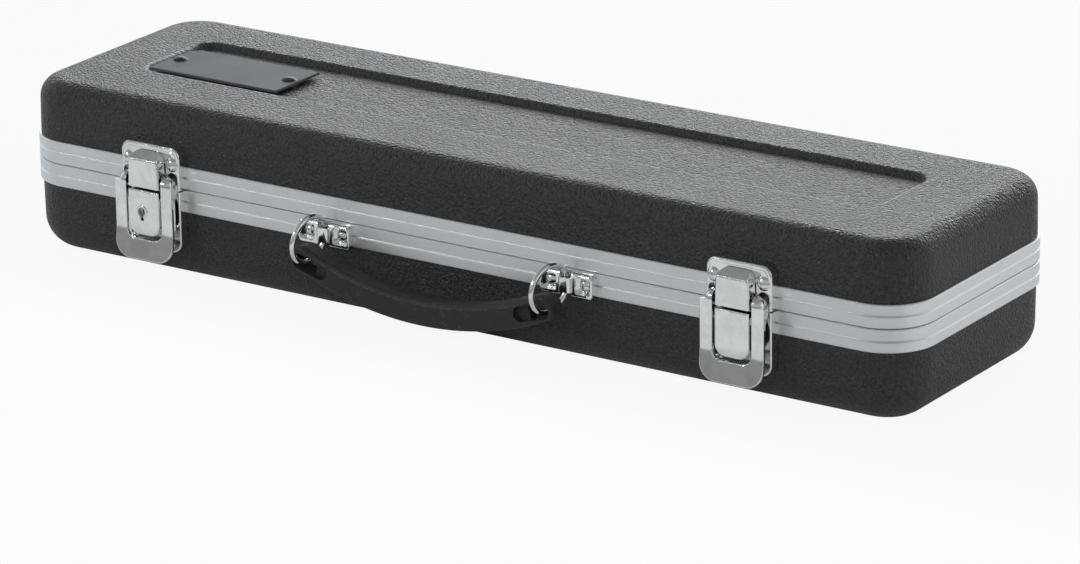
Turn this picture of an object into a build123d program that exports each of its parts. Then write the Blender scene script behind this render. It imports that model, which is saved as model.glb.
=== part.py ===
from build123d import *
from math import asin, cos, degrees, radians, sin, sqrt, tan
import os

# Moulded flute case. Millimetres, +Z up, +X along the length, the latches and the
# handle on the -Y side. The origin is the centre of the flat underside.

# Overall size, over the aluminium valance
LENGTH = 440.0
DEPTH = 122.2
HEIGHT = 76.3
PARTING_Z = 41.33
CORNER_RADIUS = 21.75

# Moulded shells
WALL = 2.5
LID_STEP = 0.94
BASE_STEP = 1.2
LID_DRAFT = 0.78
BASE_DRAFT = 0.85
LID_EDGE_RADIUS = 9.1
BASE_EDGE_RADIUS = 14.5

# Sunk panel in the lid's top
RECESS_LENGTH = 365.8
RECESS_WIDTH = 49.4
RECESS_X = -1.6
RECESS_Y = 2.8
RECESS_SINK = 2.5
RECESS_SLOPE = 40.0
RECESS_RADIUS = 9.0
RECESS_EASE = 2.0
RECESS_TOE = 1.4

# Aluminium valance, one ring on each half
VALANCE_HEIGHT = 9.85
VALANCE_WEB = 1.6
VALANCE_LEG = 1.0
VALANCE_LEG_DROP = 3.2
VALANCE_EASE = 0.35
PARTING_GAP = 0.3
GROOVE_DEPTH = 0.5
GROOVE_HALF = 0.55
GROOVE_AT = 5.1
TONGUE_HALF = 0.45
TONGUE_HEIGHT = 0.9
TONGUE_INSET = 2.4
TONGUE_CLEARANCE = 0.25

# Fasteners
HOLE_CLEARANCE = 0.05
SEAT_CLEARANCE = 0.02
TAIL_HEIGHT = 0.9
SMALL_RIVET = (2.2, 0.9, 1.2)
LARGE_RIVET = (3.1, 1.6, 1.5)
PLATE_RIVET = (3.4, 1.3, 1.2)
BRACKET_RIVET = (2.9, 1.6, 1.3)
TOUCH = 0.04

# Latch plates
LATCH_SPAN = 145.75
LATCH_SHIFT = -0.75
PLATE_SIDE = 1.05
PLATE_PROUD = 3.5
PLATE_WALL = 1.0
PLATE_EDGE = 0.8
KEEPER_TOP_Z = 60.0
KEEPER_LOW_Z = 41.6
KEEPER_CORNER = 4.5
KEEPER_RIVET_GAP = 0.2
KEEPER_RIVET_Z = 52.7
KEEPER_LINE = 1.5
KEEPER_LINE_WIDTH = 0.5
KEEPER_LINE_DEPTH = 0.25
CATCH_TOP_Z = 40.9
CATCH_LOW_Z = 13.4
CATCH_CORNER = 5.5
CATCH_RIVETS = ((9.5, 17.3), (4.4, 27.5))
NOTCH_GAP = 0.2
NOTCH_TOP_Z = 49.2
NOTCH_LOW_Z = 39.7

# Latch linkage: heights, and how far it stands out from the plates' faces
FRONT_STAND = 5.65
PIVOT_STAND = 1.8
PIVOT_Z = 43.9
PIVOT_PIN = 0.9
PIVOT_PIN_PAST = (0.3, 0.1)
LINK_STAND = 1.6
LINK_Z = 41.2
LINK_PIN = 0.8
LINK_EYE = 1.4
EAR_ROOM = 0.6
EAR_THICK = 1.0
EAR_GAP = 0.2
EAR_RADIUS = 2.3
EAR_FOOT = (36.3, 39.6)

# Lever: a U-shaped bail with rolled hubs
LEVER_LOW_Z = 10.2
LEVER_CORNER = 7.8
LEVER_OPENING = 18.2
LEVER_LEG = 5.8
LEVER_OPENING_Z = 19.4
LEVER_OPENING_CORNER = 4.0
LEVER_SHEET = 1.4
LEVER_EDGE = 0.5
LEVER_BEND_Z = 22.4
LEVER_BEND_RADIUS = 28.0
LEVER_FLARE = 1.6
CHEEK_LOW_Z = 32.5
CHEEK_KNEE_STAND = 0.7
CHEEK_KNEE_Z = 40.2
HUB_SHEET = 1.0
HUB_DOME = 3.7
CHEEK_SHEET = 2.1
HUB_COVER_ANGLE = 100.0
LINK_ARM_SHEET = 0.9
LINK_ARM_LOW_Z = 36.0

# Hasp: the hood that closes over the keeper plate
HASP_SHEET = 1.1
HASP_LOW_Z = 42.2
HASP_ROOM = 0.9
HASP_LEAN = 0.6
HASP_TOP_Z = 54.8
HASP_BACK_GAP = 0.15
HASP_BACK_Z = 57.5
HASP_SIDE_GAP = 0.6
HASP_CROWN = 4.2
HASP_EDGE = 1.2
HASP_BROW = 1.3
TAIL_HALF = 1.8
TAIL_LOW_Z = 37.0
TAIL_SHEET = 1.0

# Lock cover, and the warded lock in the left one
COVER_ROOM = 1.1
COVER_TOP_Z = 41.0
COVER_LOW_Z = 21.0
COVER_CORNER = 5.0
COVER_EDGE = 0.7
COVER_BEVEL = 0.5
COVER_SIDE_Z = 38.9
LOCK_X = -0.8
LOCK_Z = 31.4
LOCK_NOSE = 1.5
LOCK_NOSE_SUNK = 1.1
LOCK_DISC = 3.2
LOCK_DISC_SUNK = (2.25, 1.3)
LOCK_STUB = 1.2
LOCK_STUB_PAST = 1.2
CAM_SUNK = 3.25
CAM_LENGTH = 5.6
CAM_WIDTH = 2.4
KEY_CUT = (0.9, 2.3, 2.4)
KEY_SLOT = 1.6
KEY_SLOT_DROP = 3.9
BEAD_OUTER = 2.9
BEAD_INNER = 2.0
BEAD_PROUD = 0.4

# Carrying handle
GRIP_X = 0.2
GRIP_OUT = 12.8
GRIP_THICK = 9.0
GRIP_HEIGHT = 11.2
GRIP_ARC = 145.0
GRIP_MID_Z = 15.5
GRIP_HALF_SPAN = 59.3
GRIP_EDGE = 1.7
SLOT_SPAN = 54.8
SLOT_Z = 25.8
SLOT_TILT = 16.0
SLOT_SIZE = (17.6, 6.6)
SLOT_STEP = 6.6
SLOT_STEP_SINK = 2.6

# Rings that carry the handle, and their brackets
RING_RADIUS = 10.0
RING_WIRE = 1.2
RING_IN = 2.05
RING_POSES = {"left": (35.7, 7.0, 8.0), "right": (35.5, 13.0, 5.0)}
BRACKET_SPAN = 60.0
BRACKET_SHIFT = 2.9
BRACKET_LENGTH = 25.6
BRACKET_HEIGHT = 9.6
BRACKET_Z = 35.6
BRACKET_PROUD = 3.5
BRACKET_WALL = 0.9
BRACKET_CORNER = 1.6
BRACKET_POCKET = 7.6
BRACKET_RIVET_X = 8.2
STRAP_WIDTH = 6.4
STRAP_HEIGHT = 6.2
STRAP_IN = 4.2
STRAP_SHEET = 1.0
STRAP_ROUND = 2.0
CHANNEL_HALF = 2.2
MOUTH_HALF = 2.8

# Hinges on the back
HINGE_X = 145.5
HINGE_WIDTH = 36.0
HINGE_SHEET = 1.0
HINGE_OUT = 2.4
HINGE_CORNER = 2.0
LEAF_HEIGHT = 9.0
KNUCKLE_RADIUS = 2.25
KNUCKLE_COUNT = 5
KNUCKLE_GAP = 0.25
HINGE_PIN = 1.25
HINGE_RIVET_X = 11.0
HINGE_RIVET_RISE = 6.9

# Nameplate, left blank
NAMEPLATE_SIZE = (67.0, 32.0)
NAMEPLATE_THICK = 1.1
NAMEPLATE_RISE = 1.3
NAMEPLATE_X = -148.2
NAMEPLATE_Y = -1.4
NAMEPLATE_CUT = 4.0
NAMEPLATE_RIVET = 29.0
NAMEPLATE_BOSS = 4.2

# Padding
INSERT_GAP = 1.6
INSERT_TOP_Z = 38.4
SEAT_GAP = 0.3
INSERT_EDGE_RADIUS = 12.5
CAVITY_FLOOR_Z = 9.5
CAVITY_CORNER = 5.0
BODY_CAVITY = (364.0, 38.0)
TRINKET_CAVITY = (34.0, 38.0)
HEAD_CAVITY = (236.0, 29.0)
FOOT_CAVITY = (150.0, 34.0)
FRONT_ROW_Y = -30.0
BACK_ROW_Y = 28.0
ROW_HALF = 203.0
SCOOP_WIDTH = 30.0
SCOOP_X = (-95.0, 95.0)
SCOOP_FLOOR_Z = 20.0
PAD_LOW_Z = 49.0
PAD_GAP = 1.8
PAD_EDGE_RADIUS = 8.0

HALF_DEPTH = DEPTH / 2
SIDES = {"left": -1, "right": 1}
HALF_GAP = PARTING_GAP / 2
VALANCE_EDGE = HALF_GAP + VALANCE_HEIGHT
LID_EDGE_Z = PARTING_Z + VALANCE_EDGE
BASE_EDGE_Z = PARTING_Z - VALANCE_EDGE
RECESS_FLOOR_Z = HEIGHT - RECESS_SINK
NAMEPLATE_LOW_Z = RECESS_FLOOR_Z + NAMEPLATE_RISE

# The latch outwards from its middle, and outwards from the valance
INNER_HALF = LEVER_OPENING / 2
COVER_WIDTH = LEVER_OPENING - 2 * COVER_ROOM
HASP_LOW_HALF = INNER_HALF - HASP_ROOM
HASP_TOP_HALF = HASP_LOW_HALF - HASP_LEAN
KEEPER_RIVET_X = HASP_LOW_HALF + LARGE_RIVET[0] + KEEPER_RIVET_GAP
EAR_INNER = INNER_HALF + LINK_ARM_SHEET + EAR_ROOM
HUB_OUTER = EAR_INNER + EAR_THICK + EAR_GAP + CHEEK_SHEET
LEVER_WIDTH = LEVER_OPENING + 2 * LEVER_LEG
NOTCH_INNER = INNER_HALF - NOTCH_GAP / 2
NOTCH_OUTER = HUB_OUTER + NOTCH_GAP
PLATE_WIDTH = 2 * (NOTCH_OUTER + PLATE_SIDE)
PIVOT_OUT = PLATE_PROUD + PIVOT_STAND
LINK_OUT = PLATE_PROUD + LINK_STAND
FRONT_OUT = PLATE_PROUD + FRONT_STAND

# Side view of a latch: local X is the distance out, local Y the height
SIDE_VIEW = Plane(origin=(0, 0, 0), x_dir=(0, 0, 1), z_dir=(-1, 0, 0))


def front_place(x):
    """Local X along the case, local Y the real height, local Z out of the front."""
    return Pos(x, -HALF_DEPTH, 0) * Rot(90, 0, 0)


def back_place(x):
    """Local X along the case, local Y the real height, local Z out of the back."""
    return Pos(x, HALF_DEPTH, 0) * Rot(90, 0, 0) * Rot(0, 180, 0)


def both_sides(shape):
    """The shape and its mirror image across the middle."""
    return shape + mirror(shape, Plane.YZ)


def face_of(*points):
    """A filled polygon."""
    return make_face(Polyline(*points, close=True))


def side_prism(outline, low, high):
    """A side-view outline carried across the latch from low to high."""
    return Pos(low, 0, 0) * extrude(SIDE_VIEW * outline, amount=low - high)


def side_disc(radius, out, height):
    """A disc in the side view."""
    return Pos(out, height) * Circle(radius)


def post(x, height, out_low, out_high, radius):
    """A round post that points out of the front."""
    length = out_high - out_low
    return Pos(x, height, out_low + length / 2) * Cylinder(radius, length)


def rounded_ends(width, low, high, radius, top):
    """A rectangle with only its top or only its bottom corners rounded."""
    shape = Pos(0, (low + high) / 2) * Rectangle(width, high - low)
    corners = shape.vertices().group_by(Axis.Y)[-1 if top else 0]
    return fillet(corners, radius)


def rounded_prism(inset, low, high, taper=0.0):
    """A block of the case's plan outline, drawn in by inset all round."""
    outline = RectangleRounded(LENGTH - 2 * inset, DEPTH - 2 * inset, CORNER_RADIUS - inset)
    return extrude(Plane.XY.offset(low) * outline, amount=high - low, taper=taper)


def rivet(size, grip):
    """A domed rivet along +Z: its head stands on zero, its set tail lies below the grip."""
    head, rise, shank = size
    ball = (head * head + rise * rise) / (2 * rise)
    half = asin(head / ball) / 2
    middle = (ball * sin(half), rise - ball + ball * cos(half))
    tail = shank * 1.5
    end = -grip - TAIL_HEIGHT
    line = Polyline((0, rise), (0, end), (tail, end), (tail, -grip), (shank, -grip), (shank, 0), (head, 0))
    dome = ThreePointArc((head, 0), middle, (0, rise))
    return revolve(Plane.XZ * make_face(line + dome), axis=Axis.Z)


def rivet_holes(places, size, reach):
    """Clearance holes, reach mm deep, under the rivets at these places."""
    radius = size[2] + HOLE_CLEARANCE
    return [place * Pos(0, 0, -reach / 2) * Cylinder(radius, reach) for place in places]


def without(shape, tools):
    """The shape with each tool cut from it."""
    for tool in tools:
        shape = shape - tool
    return shape


# Where the rivets stand: one placement for each head's underside

def latch_x(side):
    return LATCH_SHIFT + side * LATCH_SPAN


def keeper_rivet_places():
    spots = [(latch_x(side), hand * KEEPER_RIVET_X) for side in SIDES.values() for hand in (-1, 1)]
    return [front_place(x + step) * Pos(0, KEEPER_RIVET_Z, PLATE_PROUD) for x, step in spots]


def catch_rivet_places():
    places = []
    for side in SIDES.values():
        for across, height in CATCH_RIVETS:
            for hand in (-1, 1):
                places.append(front_place(latch_x(side) + hand * across) * Pos(0, height, PLATE_PROUD))
    return places


def bracket_rivet_places():
    places = []
    for side in SIDES.values():
        for hand in (-1, 1):
            x = BRACKET_SHIFT + side * BRACKET_SPAN + hand * BRACKET_RIVET_X
            places.append(front_place(x) * Pos(0, BRACKET_Z, BRACKET_WALL))
    return places


def hinge_rivet_places(direction):
    height = PARTING_Z + direction * HINGE_RIVET_RISE
    spots = [side * HINGE_X + hand * HINGE_RIVET_X for side in SIDES.values() for hand in (-1, 1)]
    return [back_place(x) * Pos(0, height, HINGE_SHEET) for x in spots]


def nameplate_rivet_places():
    top = NAMEPLATE_LOW_Z + NAMEPLATE_THICK
    return [Pos(NAMEPLATE_X + hand * NAMEPLATE_RIVET, NAMEPLATE_Y, top) for hand in (-1, 1)]


def set_of_rivets(places, size, grip):
    """Like rivets, as one group of separate solids."""
    return Compound(children=[place * rivet(size, grip) for place in places])


# Shells, valances and padding

def bowl(step, draft, rise, edge_radius):
    """A moulded half as two solids, outside and hollow, its open side down at zero."""
    seat = HALF_GAP + VALANCE_WEB
    outer = rounded_prism(step, VALANCE_EDGE, rise, draft)
    outer = fillet(outer.edges().group_by(Axis.Z)[-1], edge_radius)
    outer = outer + rounded_prism(step, seat, VALANCE_EDGE)
    inset = step + WALL
    inner = rounded_prism(inset, VALANCE_EDGE, rise - WALL, draft)
    inner = fillet(inner.edges().group_by(Axis.Z)[-1], edge_radius - WALL)
    inner = inner + rounded_prism(inset, seat - 1, VALANCE_EDGE)
    return outer, inner


def recess_block(grow, sink):
    """The sunk panel as a solid, its sides sloping outwards to above the lid."""
    spread = RECESS_SINK * tan(radians(RECESS_SLOPE))
    length = RECESS_LENGTH - 2 * spread + 2 * grow
    width = RECESS_WIDTH - 2 * spread + 2 * grow
    floor = Plane((RECESS_X, RECESS_Y, HEIGHT - sink))
    outline = RectangleRounded(length, width, RECESS_RADIUS - spread + grow)
    block = extrude(floor * outline, amount=sink + 2, taper=-RECESS_SLOPE)
    return fillet(block.edges().group_by(Axis.Z)[0], RECESS_TOE)


def lid_shell():
    outer, inner = bowl(LID_STEP, LID_DRAFT, HEIGHT - PARTING_Z, LID_EDGE_RADIUS)
    lift = Pos(0, 0, PARTING_Z)
    outer = lift * outer - recess_block(0, RECESS_SINK)
    rims = [edge for edge in outer.edges().filter_by_position(Axis.Z, HEIGHT - 0.01, HEIGHT + 0.01)
            if abs(edge.center().Y - RECESS_Y) < RECESS_WIDTH / 2 + 0.1
            and abs(edge.center().X - RECESS_X) < RECESS_LENGTH / 2 + 0.1]
    outer = fillet(rims, RECESS_EASE)
    boss_height = NAMEPLATE_RISE + WALL / 2
    for hand in (-1, 1):
        foot = Pos(NAMEPLATE_X + hand * NAMEPLATE_RIVET, NAMEPLATE_Y, NAMEPLATE_LOW_Z - boss_height / 2)
        outer = outer + foot * Cylinder(NAMEPLATE_BOSS, boss_height)
    hollow = lift * inner - recess_block(WALL / 2, RECESS_SINK + WALL)
    holes = rivet_holes(keeper_rivet_places(), LARGE_RIVET, 12)
    holes += rivet_holes(hinge_rivet_places(1), SMALL_RIVET, 8)
    holes += rivet_holes(nameplate_rivet_places(), PLATE_RIVET, 8)
    return without(outer - hollow, holes)


def base_shell():
    outer, inner = bowl(BASE_STEP, BASE_DRAFT, PARTING_Z, BASE_EDGE_RADIUS)
    turn = Pos(0, 0, PARTING_Z) * Rot(180, 0, 0)
    holes = rivet_holes(catch_rivet_places(), SMALL_RIVET, 10)
    holes += rivet_holes(bracket_rivet_places(), BRACKET_RIVET, 8)
    holes += rivet_holes(hinge_rivet_places(-1), SMALL_RIVET, 8)
    return without(turn * (outer - inner), holes)


def valance_outline(step, tongue):
    """Section of a valance ring: local X in from the outside, local Y away from the parting."""
    skin = VALANCE_HEIGHT
    inner = step + WALL
    leg = inner + VALANCE_LEG
    outside = [
        (VALANCE_EASE, 0), (0, VALANCE_EASE), (0, GROOVE_AT - GROOVE_HALF), (GROOVE_DEPTH, GROOVE_AT),
        (0, GROOVE_AT + GROOVE_HALF), (0, skin - VALANCE_EASE), (VALANCE_EASE, skin), (step, skin)]
    channel = [(step, VALANCE_WEB), (inner, VALANCE_WEB), (inner, VALANCE_LEG_DROP),
               (leg, VALANCE_LEG_DROP), (leg, 0)]
    half = TONGUE_HALF if tongue else TONGUE_HALF + TONGUE_CLEARANCE
    rise = -TONGUE_HEIGHT if tongue else TONGUE_HEIGHT
    joint = [(TONGUE_INSET + half, 0), (TONGUE_INSET + half * 0.8, rise),
             (TONGUE_INSET - half * 0.8, rise), (TONGUE_INSET - half, 0)]
    return outside + channel + joint


def valance(step, direction):
    """One ring: straight runs and rounded corners of the same section."""
    face_z = PARTING_Z + direction * HALF_GAP
    points = valance_outline(step, direction < 0)
    run = LENGTH / 2 - CORNER_RADIUS
    turn = HALF_DEPTH - CORNER_RADIUS

    def section(reach):
        return face_of(*[(-reach + x, face_z + direction * y) for x, y in points])

    long_side = extrude(Plane.YZ * section(HALF_DEPTH), amount=run, both=True)
    short_side = Rot(0, 0, 90) * extrude(Plane.YZ * section(LENGTH / 2), amount=turn, both=True)
    corner = revolve(Plane.YZ.offset(run) * section(HALF_DEPTH), axis=Axis((run, -turn, 0), (0, 0, 1)),
                     revolution_arc=90)
    half = long_side + both_sides(corner)
    return half + mirror(half, Plane.XZ) + both_sides(short_side)


def lid_valance():
    holes = rivet_holes(keeper_rivet_places(), LARGE_RIVET, 12)
    holes += rivet_holes(hinge_rivet_places(1), SMALL_RIVET, 8)
    return without(valance(LID_STEP, 1), holes)


def base_valance():
    holes = rivet_holes(catch_rivet_places(), SMALL_RIVET, 10)
    holes += rivet_holes(bracket_rivet_places(), BRACKET_RIVET, 8)
    holes += rivet_holes(hinge_rivet_places(-1), SMALL_RIVET, 8)
    return without(valance(BASE_STEP, -1), holes)


def cavity(size, x, y, corner):
    """A pocket for one joint of the flute, open at the top."""
    depth = INSERT_TOP_Z - CAVITY_FLOOR_Z + 1
    block = extrude(Plane((x, y, CAVITY_FLOOR_Z)) * RectangleRounded(*size, corner), amount=depth)
    return fillet(block.edges().group_by(Axis.Z)[0], corner - 0.5)


def base_insert():
    inset = BASE_STEP + WALL + INSERT_GAP
    low = WALL + SEAT_GAP
    block = Pos(0, 0, INSERT_TOP_Z) * Rot(180, 0, 0) * rounded_prism(inset, 0, INSERT_TOP_Z - low, BASE_DRAFT)
    block = fillet(block.edges().group_by(Axis.Z)[0], INSERT_EDGE_RADIUS)
    body_x = -ROW_HALF + BODY_CAVITY[0] / 2
    trinket_x = ROW_HALF - TRINKET_CAVITY[0] / 2
    head_x = -ROW_HALF + HEAD_CAVITY[0] / 2
    foot_x = ROW_HALF - FOOT_CAVITY[0] / 2
    pockets = [cavity(BODY_CAVITY, body_x, FRONT_ROW_Y, CAVITY_CORNER),
               cavity(TRINKET_CAVITY, trinket_x, FRONT_ROW_Y, CAVITY_CORNER),
               cavity(HEAD_CAVITY, head_x, BACK_ROW_Y, CAVITY_CORNER),
               cavity(FOOT_CAVITY, foot_x, BACK_ROW_Y, CAVITY_CORNER)]
    scoop_length = BACK_ROW_Y - FRONT_ROW_Y
    scoop_depth = INSERT_TOP_Z - SCOOP_FLOOR_Z + 1
    for x in SCOOP_X:
        middle = (x, (BACK_ROW_Y + FRONT_ROW_Y) / 2, SCOOP_FLOOR_Z)
        pockets.append(extrude(Plane(middle) * Rectangle(SCOOP_WIDTH, scoop_length), amount=scoop_depth))
    return without(block, pockets)


def lid_pad():
    inset = LID_STEP + WALL + PAD_GAP
    high = RECESS_FLOOR_Z - WALL - SEAT_GAP
    block = Pos(0, 0, high) * Rot(180, 0, 0) * rounded_prism(inset + 1.2, 0, high - PAD_LOW_Z, -2.0)
    block = fillet(block.edges().group_by(Axis.Z)[0], PAD_EDGE_RADIUS)
    depth = NAMEPLATE_THICK + NAMEPLATE_RISE + WALL + TAIL_HEIGHT + SEAT_GAP
    dimple = Cylinder(PLATE_RIVET[2] * 1.5 + SEAT_GAP, depth)
    return without(block, [place * Pos(0, 0, -depth / 2) * dimple for place in nameplate_rivet_places()])


def nameplate():
    length, width = NAMEPLATE_SIZE
    x, y, cut = length / 2, width / 2, NAMEPLATE_CUT
    outline = face_of((-x, -y), (x, -y), (x, y), (-x + cut, y), (-x, y - cut))
    plate = extrude(Plane((NAMEPLATE_X, NAMEPLATE_Y, NAMEPLATE_LOW_Z)) * outline, amount=NAMEPLATE_THICK)
    plate = chamfer(plate.edges().group_by(Axis.Z)[-1], 0.3)
    return without(plate, rivet_holes(nameplate_rivet_places(), PLATE_RIVET, 8))


# Hinges

def hinge_leaf(x, direction):
    """A riveted leaf with its share of the knuckles: the base's odd ones, the lid's even."""
    step = HINGE_WIDTH / KNUCKLE_COUNT
    own = [index for index in range(KNUCKLE_COUNT) if (index % 2 == 0) == (direction < 0)]
    top = PARTING_Z + direction * HALF_GAP
    end = PARTING_Z + direction * (HALF_GAP + LEAF_HEIGHT)
    leaf = rounded_ends(HINGE_WIDTH, min(top, end), max(top, end), HINGE_CORNER, direction > 0)
    leaf = extrude(leaf, amount=HINGE_SHEET)
    clear = KNUCKLE_RADIUS + PARTING_GAP
    for index in range(KNUCKLE_COUNT):
        middle = (index - (KNUCKLE_COUNT - 1) / 2) * step
        at = Pos(middle, PARTING_Z, HINGE_OUT) * Rot(0, 90, 0)
        if index in own:
            leaf = leaf + at * Cylinder(KNUCKLE_RADIUS, step - KNUCKLE_GAP)
        else:
            leaf = leaf - Pos(middle, PARTING_Z, HINGE_OUT) * Box(step + KNUCKLE_GAP, 2 * clear, 2 * clear)
    leaf = leaf - Pos(0, PARTING_Z, HINGE_OUT) * Rot(0, 90, 0) * Cylinder(HINGE_PIN + HOLE_CLEARANCE, 60)
    return without(back_place(x) * leaf, rivet_holes(hinge_rivet_places(direction), SMALL_RIVET, 8))


def hinge_pin(x):
    pin = Rot(0, 90, 0) * Cylinder(HINGE_PIN, HINGE_WIDTH + 1)
    pin = fillet(pin.edges(), 0.4)
    return back_place(x) * Pos(0, PARTING_Z, HINGE_OUT) * pin


# Latches

def pan(low, high, corner, top, seat, seat_low, seat_high):
    """A drawn plate: eased front edges, hollow behind, its flange down to the shell."""
    outline = rounded_ends(PLATE_WIDTH, low, high, corner, top)
    outer = extrude(outline, amount=PLATE_PROUD)
    open_end = low if top else high
    rim = [edge for edge in outer.faces().sort_by(Axis.Z)[-1].edges()
           if abs(edge.center().Y - open_end) > 0.1]
    outer = fillet(rim, PLATE_EDGE)
    skirt = Pos(0, 0, -seat) * extrude(outline, amount=seat)
    middle = (seat_low + seat_high) / 2
    band = Pos(0, middle, -seat / 2) * Box(2 * PLATE_WIDTH, seat_high - seat_low, seat)
    core = rounded_ends(PLATE_WIDTH - 2 * PLATE_WALL, low + PLATE_WALL, high - PLATE_WALL,
                        corner - PLATE_WALL, top)
    hollow = Pos(0, 0, -4) * extrude(core, amount=4 + PLATE_PROUD - PLATE_WALL)
    return outer + (skirt & band) - hollow


def hub_notch():
    """The openings in the plates' faces that the lever's hubs turn in."""
    width = NOTCH_OUTER - NOTCH_INNER
    slot = rounded_ends(width, NOTCH_LOW_Z, NOTCH_TOP_Z, width / 2 - 0.1, True)
    notch = extrude(Pos((NOTCH_OUTER + NOTCH_INNER) / 2, 0) * slot, amount=2 * PLATE_PROUD)
    return both_sides(notch)


def keeper_plate(x):
    """The upper plate, on the lid, that the hasp closes over."""
    plate = pan(KEEPER_LOW_Z, KEEPER_TOP_Z, KEEPER_CORNER, True, LID_STEP - TOUCH,
                LID_EDGE_Z + TOUCH, KEEPER_TOP_Z)

    def inside(inset):
        low = KEEPER_LOW_Z - inset
        return rounded_ends(PLATE_WIDTH - 2 * inset, low, KEEPER_TOP_Z - inset, KEEPER_CORNER - inset, True)

    line = inside(KEEPER_LINE) - inside(KEEPER_LINE + KEEPER_LINE_WIDTH)
    line = Pos(0, 0, PLATE_PROUD - KEEPER_LINE_DEPTH) * extrude(line, amount=1)
    plate = plate - line - hub_notch()
    return without(front_place(x) * plate, rivet_holes(keeper_rivet_places(), LARGE_RIVET, 12))


def pivot_ear():
    """One of the two ears that carry the lever's pivot pins."""
    low, high = EAR_FOOT
    foot = PLATE_PROUD - PLATE_WALL
    stem = face_of((foot, low), (foot, high), (PIVOT_OUT - EAR_RADIUS, PIVOT_Z),
                   (PIVOT_OUT + EAR_RADIUS - 0.2, PIVOT_Z - 0.8), (PLATE_PROUD + 0.6, low))
    ear = side_prism(stem + side_disc(EAR_RADIUS, PIVOT_OUT, PIVOT_Z), EAR_INNER, EAR_INNER + EAR_THICK)
    hole = side_disc(PIVOT_PIN + SEAT_CLEARANCE, PIVOT_OUT, PIVOT_Z)
    return ear - side_prism(hole, EAR_INNER - 1, EAR_INNER + EAR_THICK + 1)


def catch_plate(x, locked):
    """The lower plate, on the base, with the lever's ears."""
    plate = pan(CATCH_LOW_Z, CATCH_TOP_Z, CATCH_CORNER, False, BASE_STEP - TOUCH,
                CATCH_LOW_Z, BASE_EDGE_Z - TOUCH)
    plate = plate - hub_notch() + both_sides(pivot_ear())
    if locked:
        plate = plate - post(LOCK_X, LOCK_Z, 0, PLATE_PROUD + 1, LOCK_STUB + HOLE_CLEARANCE)
    return without(front_place(x) * plate, rivet_holes(catch_rivet_places(), SMALL_RIVET, 10))


def lever_profile(shift):
    """The lever's front or back line in side view: upright, then flared out to its lip."""
    front = FRONT_OUT - shift
    low = (front + LEVER_FLARE, LEVER_LOW_Z)
    return [low, (front, LEVER_BEND_Z), (front, PIVOT_Z)]


def on_lever_front(edge):
    """Whether an edge is part of the rim of the lever's front."""
    middle = edge.center()
    flare = LEVER_FLARE * max(0, LEVER_BEND_Z - middle.Y) / (LEVER_BEND_Z - LEVER_LOW_Z)
    crossing = abs(middle.X) < LEVER_WIDTH / 2 - 1 and abs(middle.Y - LEVER_BEND_Z) < 2
    top = abs(middle.Y - PIVOT_Z) < 0.1
    return middle.Z > FRONT_OUT + flare - 0.3 and not crossing and not top


def lever(x):
    """The U-shaped bail: face plate, domed hubs, outer cheeks and link arms."""
    half = LEVER_WIDTH / 2
    outline = rounded_ends(LEVER_WIDTH, LEVER_LOW_Z, PIVOT_Z, LEVER_CORNER, False)
    outline = outline - rounded_ends(LEVER_OPENING, LEVER_OPENING_Z, PIVOT_Z + 2, LEVER_OPENING_CORNER, False)
    profile = face_of(*lever_profile(0), *reversed(lever_profile(LEVER_SHEET)))
    bends = profile.vertices().filter_by_position(Axis.Y, LEVER_BEND_Z - 0.1, LEVER_BEND_Z + 0.1)
    profile = fillet(bends, LEVER_BEND_RADIUS)
    plate = extrude(outline, amount=2 * FRONT_OUT) & side_prism(profile, -half - 1, half + 1)
    plate = fillet([edge for edge in plate.edges() if on_lever_front(edge)], LEVER_EDGE)

    hub = FRONT_OUT - PIVOT_OUT
    angle = radians(HUB_COVER_ANGLE)
    reach = 3 * hub
    wedge = face_of((0, 0), (reach, 0), (reach, reach), (reach * cos(angle), reach * sin(angle)))
    roll = side_disc(hub, 0, 0) - side_disc(hub - HUB_SHEET, 0, 0)
    roll = Pos(PIVOT_OUT, PIVOT_Z) * (roll & wedge)
    back_face = FRONT_OUT - LEVER_SHEET
    knee = (PLATE_PROUD + CHEEK_KNEE_STAND, CHEEK_KNEE_Z)
    cheek = face_of((FRONT_OUT - 0.2, CHEEK_LOW_Z), (back_face, CHEEK_LOW_Z), knee,
                    (PIVOT_OUT, PIVOT_Z), (FRONT_OUT - 0.2, PIVOT_Z))
    cheek = cheek + side_disc(hub, PIVOT_OUT, PIVOT_Z)
    inner = INNER_HALF
    arm = face_of((back_face + 0.5, LINK_ARM_LOW_Z), (back_face + 0.5, PIVOT_Z), (PIVOT_OUT, PIVOT_Z + 2.2),
                  (PIVOT_OUT - 2.1, PIVOT_Z - 0.4), (LINK_OUT - LINK_EYE, LINK_Z),
                  (back_face, LINK_ARM_LOW_Z))
    arm = arm + side_disc(LINK_EYE, LINK_OUT, LINK_Z)
    side = side_prism(roll, inner, HUB_OUTER) + side_prism(cheek, HUB_OUTER - CHEEK_SHEET, HUB_OUTER)
    side = side + side_prism(arm, inner, inner + LINK_ARM_SHEET)
    pivot_hole = side_disc(PIVOT_PIN + HOLE_CLEARANCE, PIVOT_OUT, PIVOT_Z)
    link_hole = side_disc(LINK_PIN + SEAT_CLEARANCE, LINK_OUT, LINK_Z)
    side = side - side_prism(pivot_hole, 0, half) - side_prism(link_hole, 0, inner + 2)
    body = plate + both_sides(side)
    return front_place(x) * (body - both_sides(hub_rounding(hub)))


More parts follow.
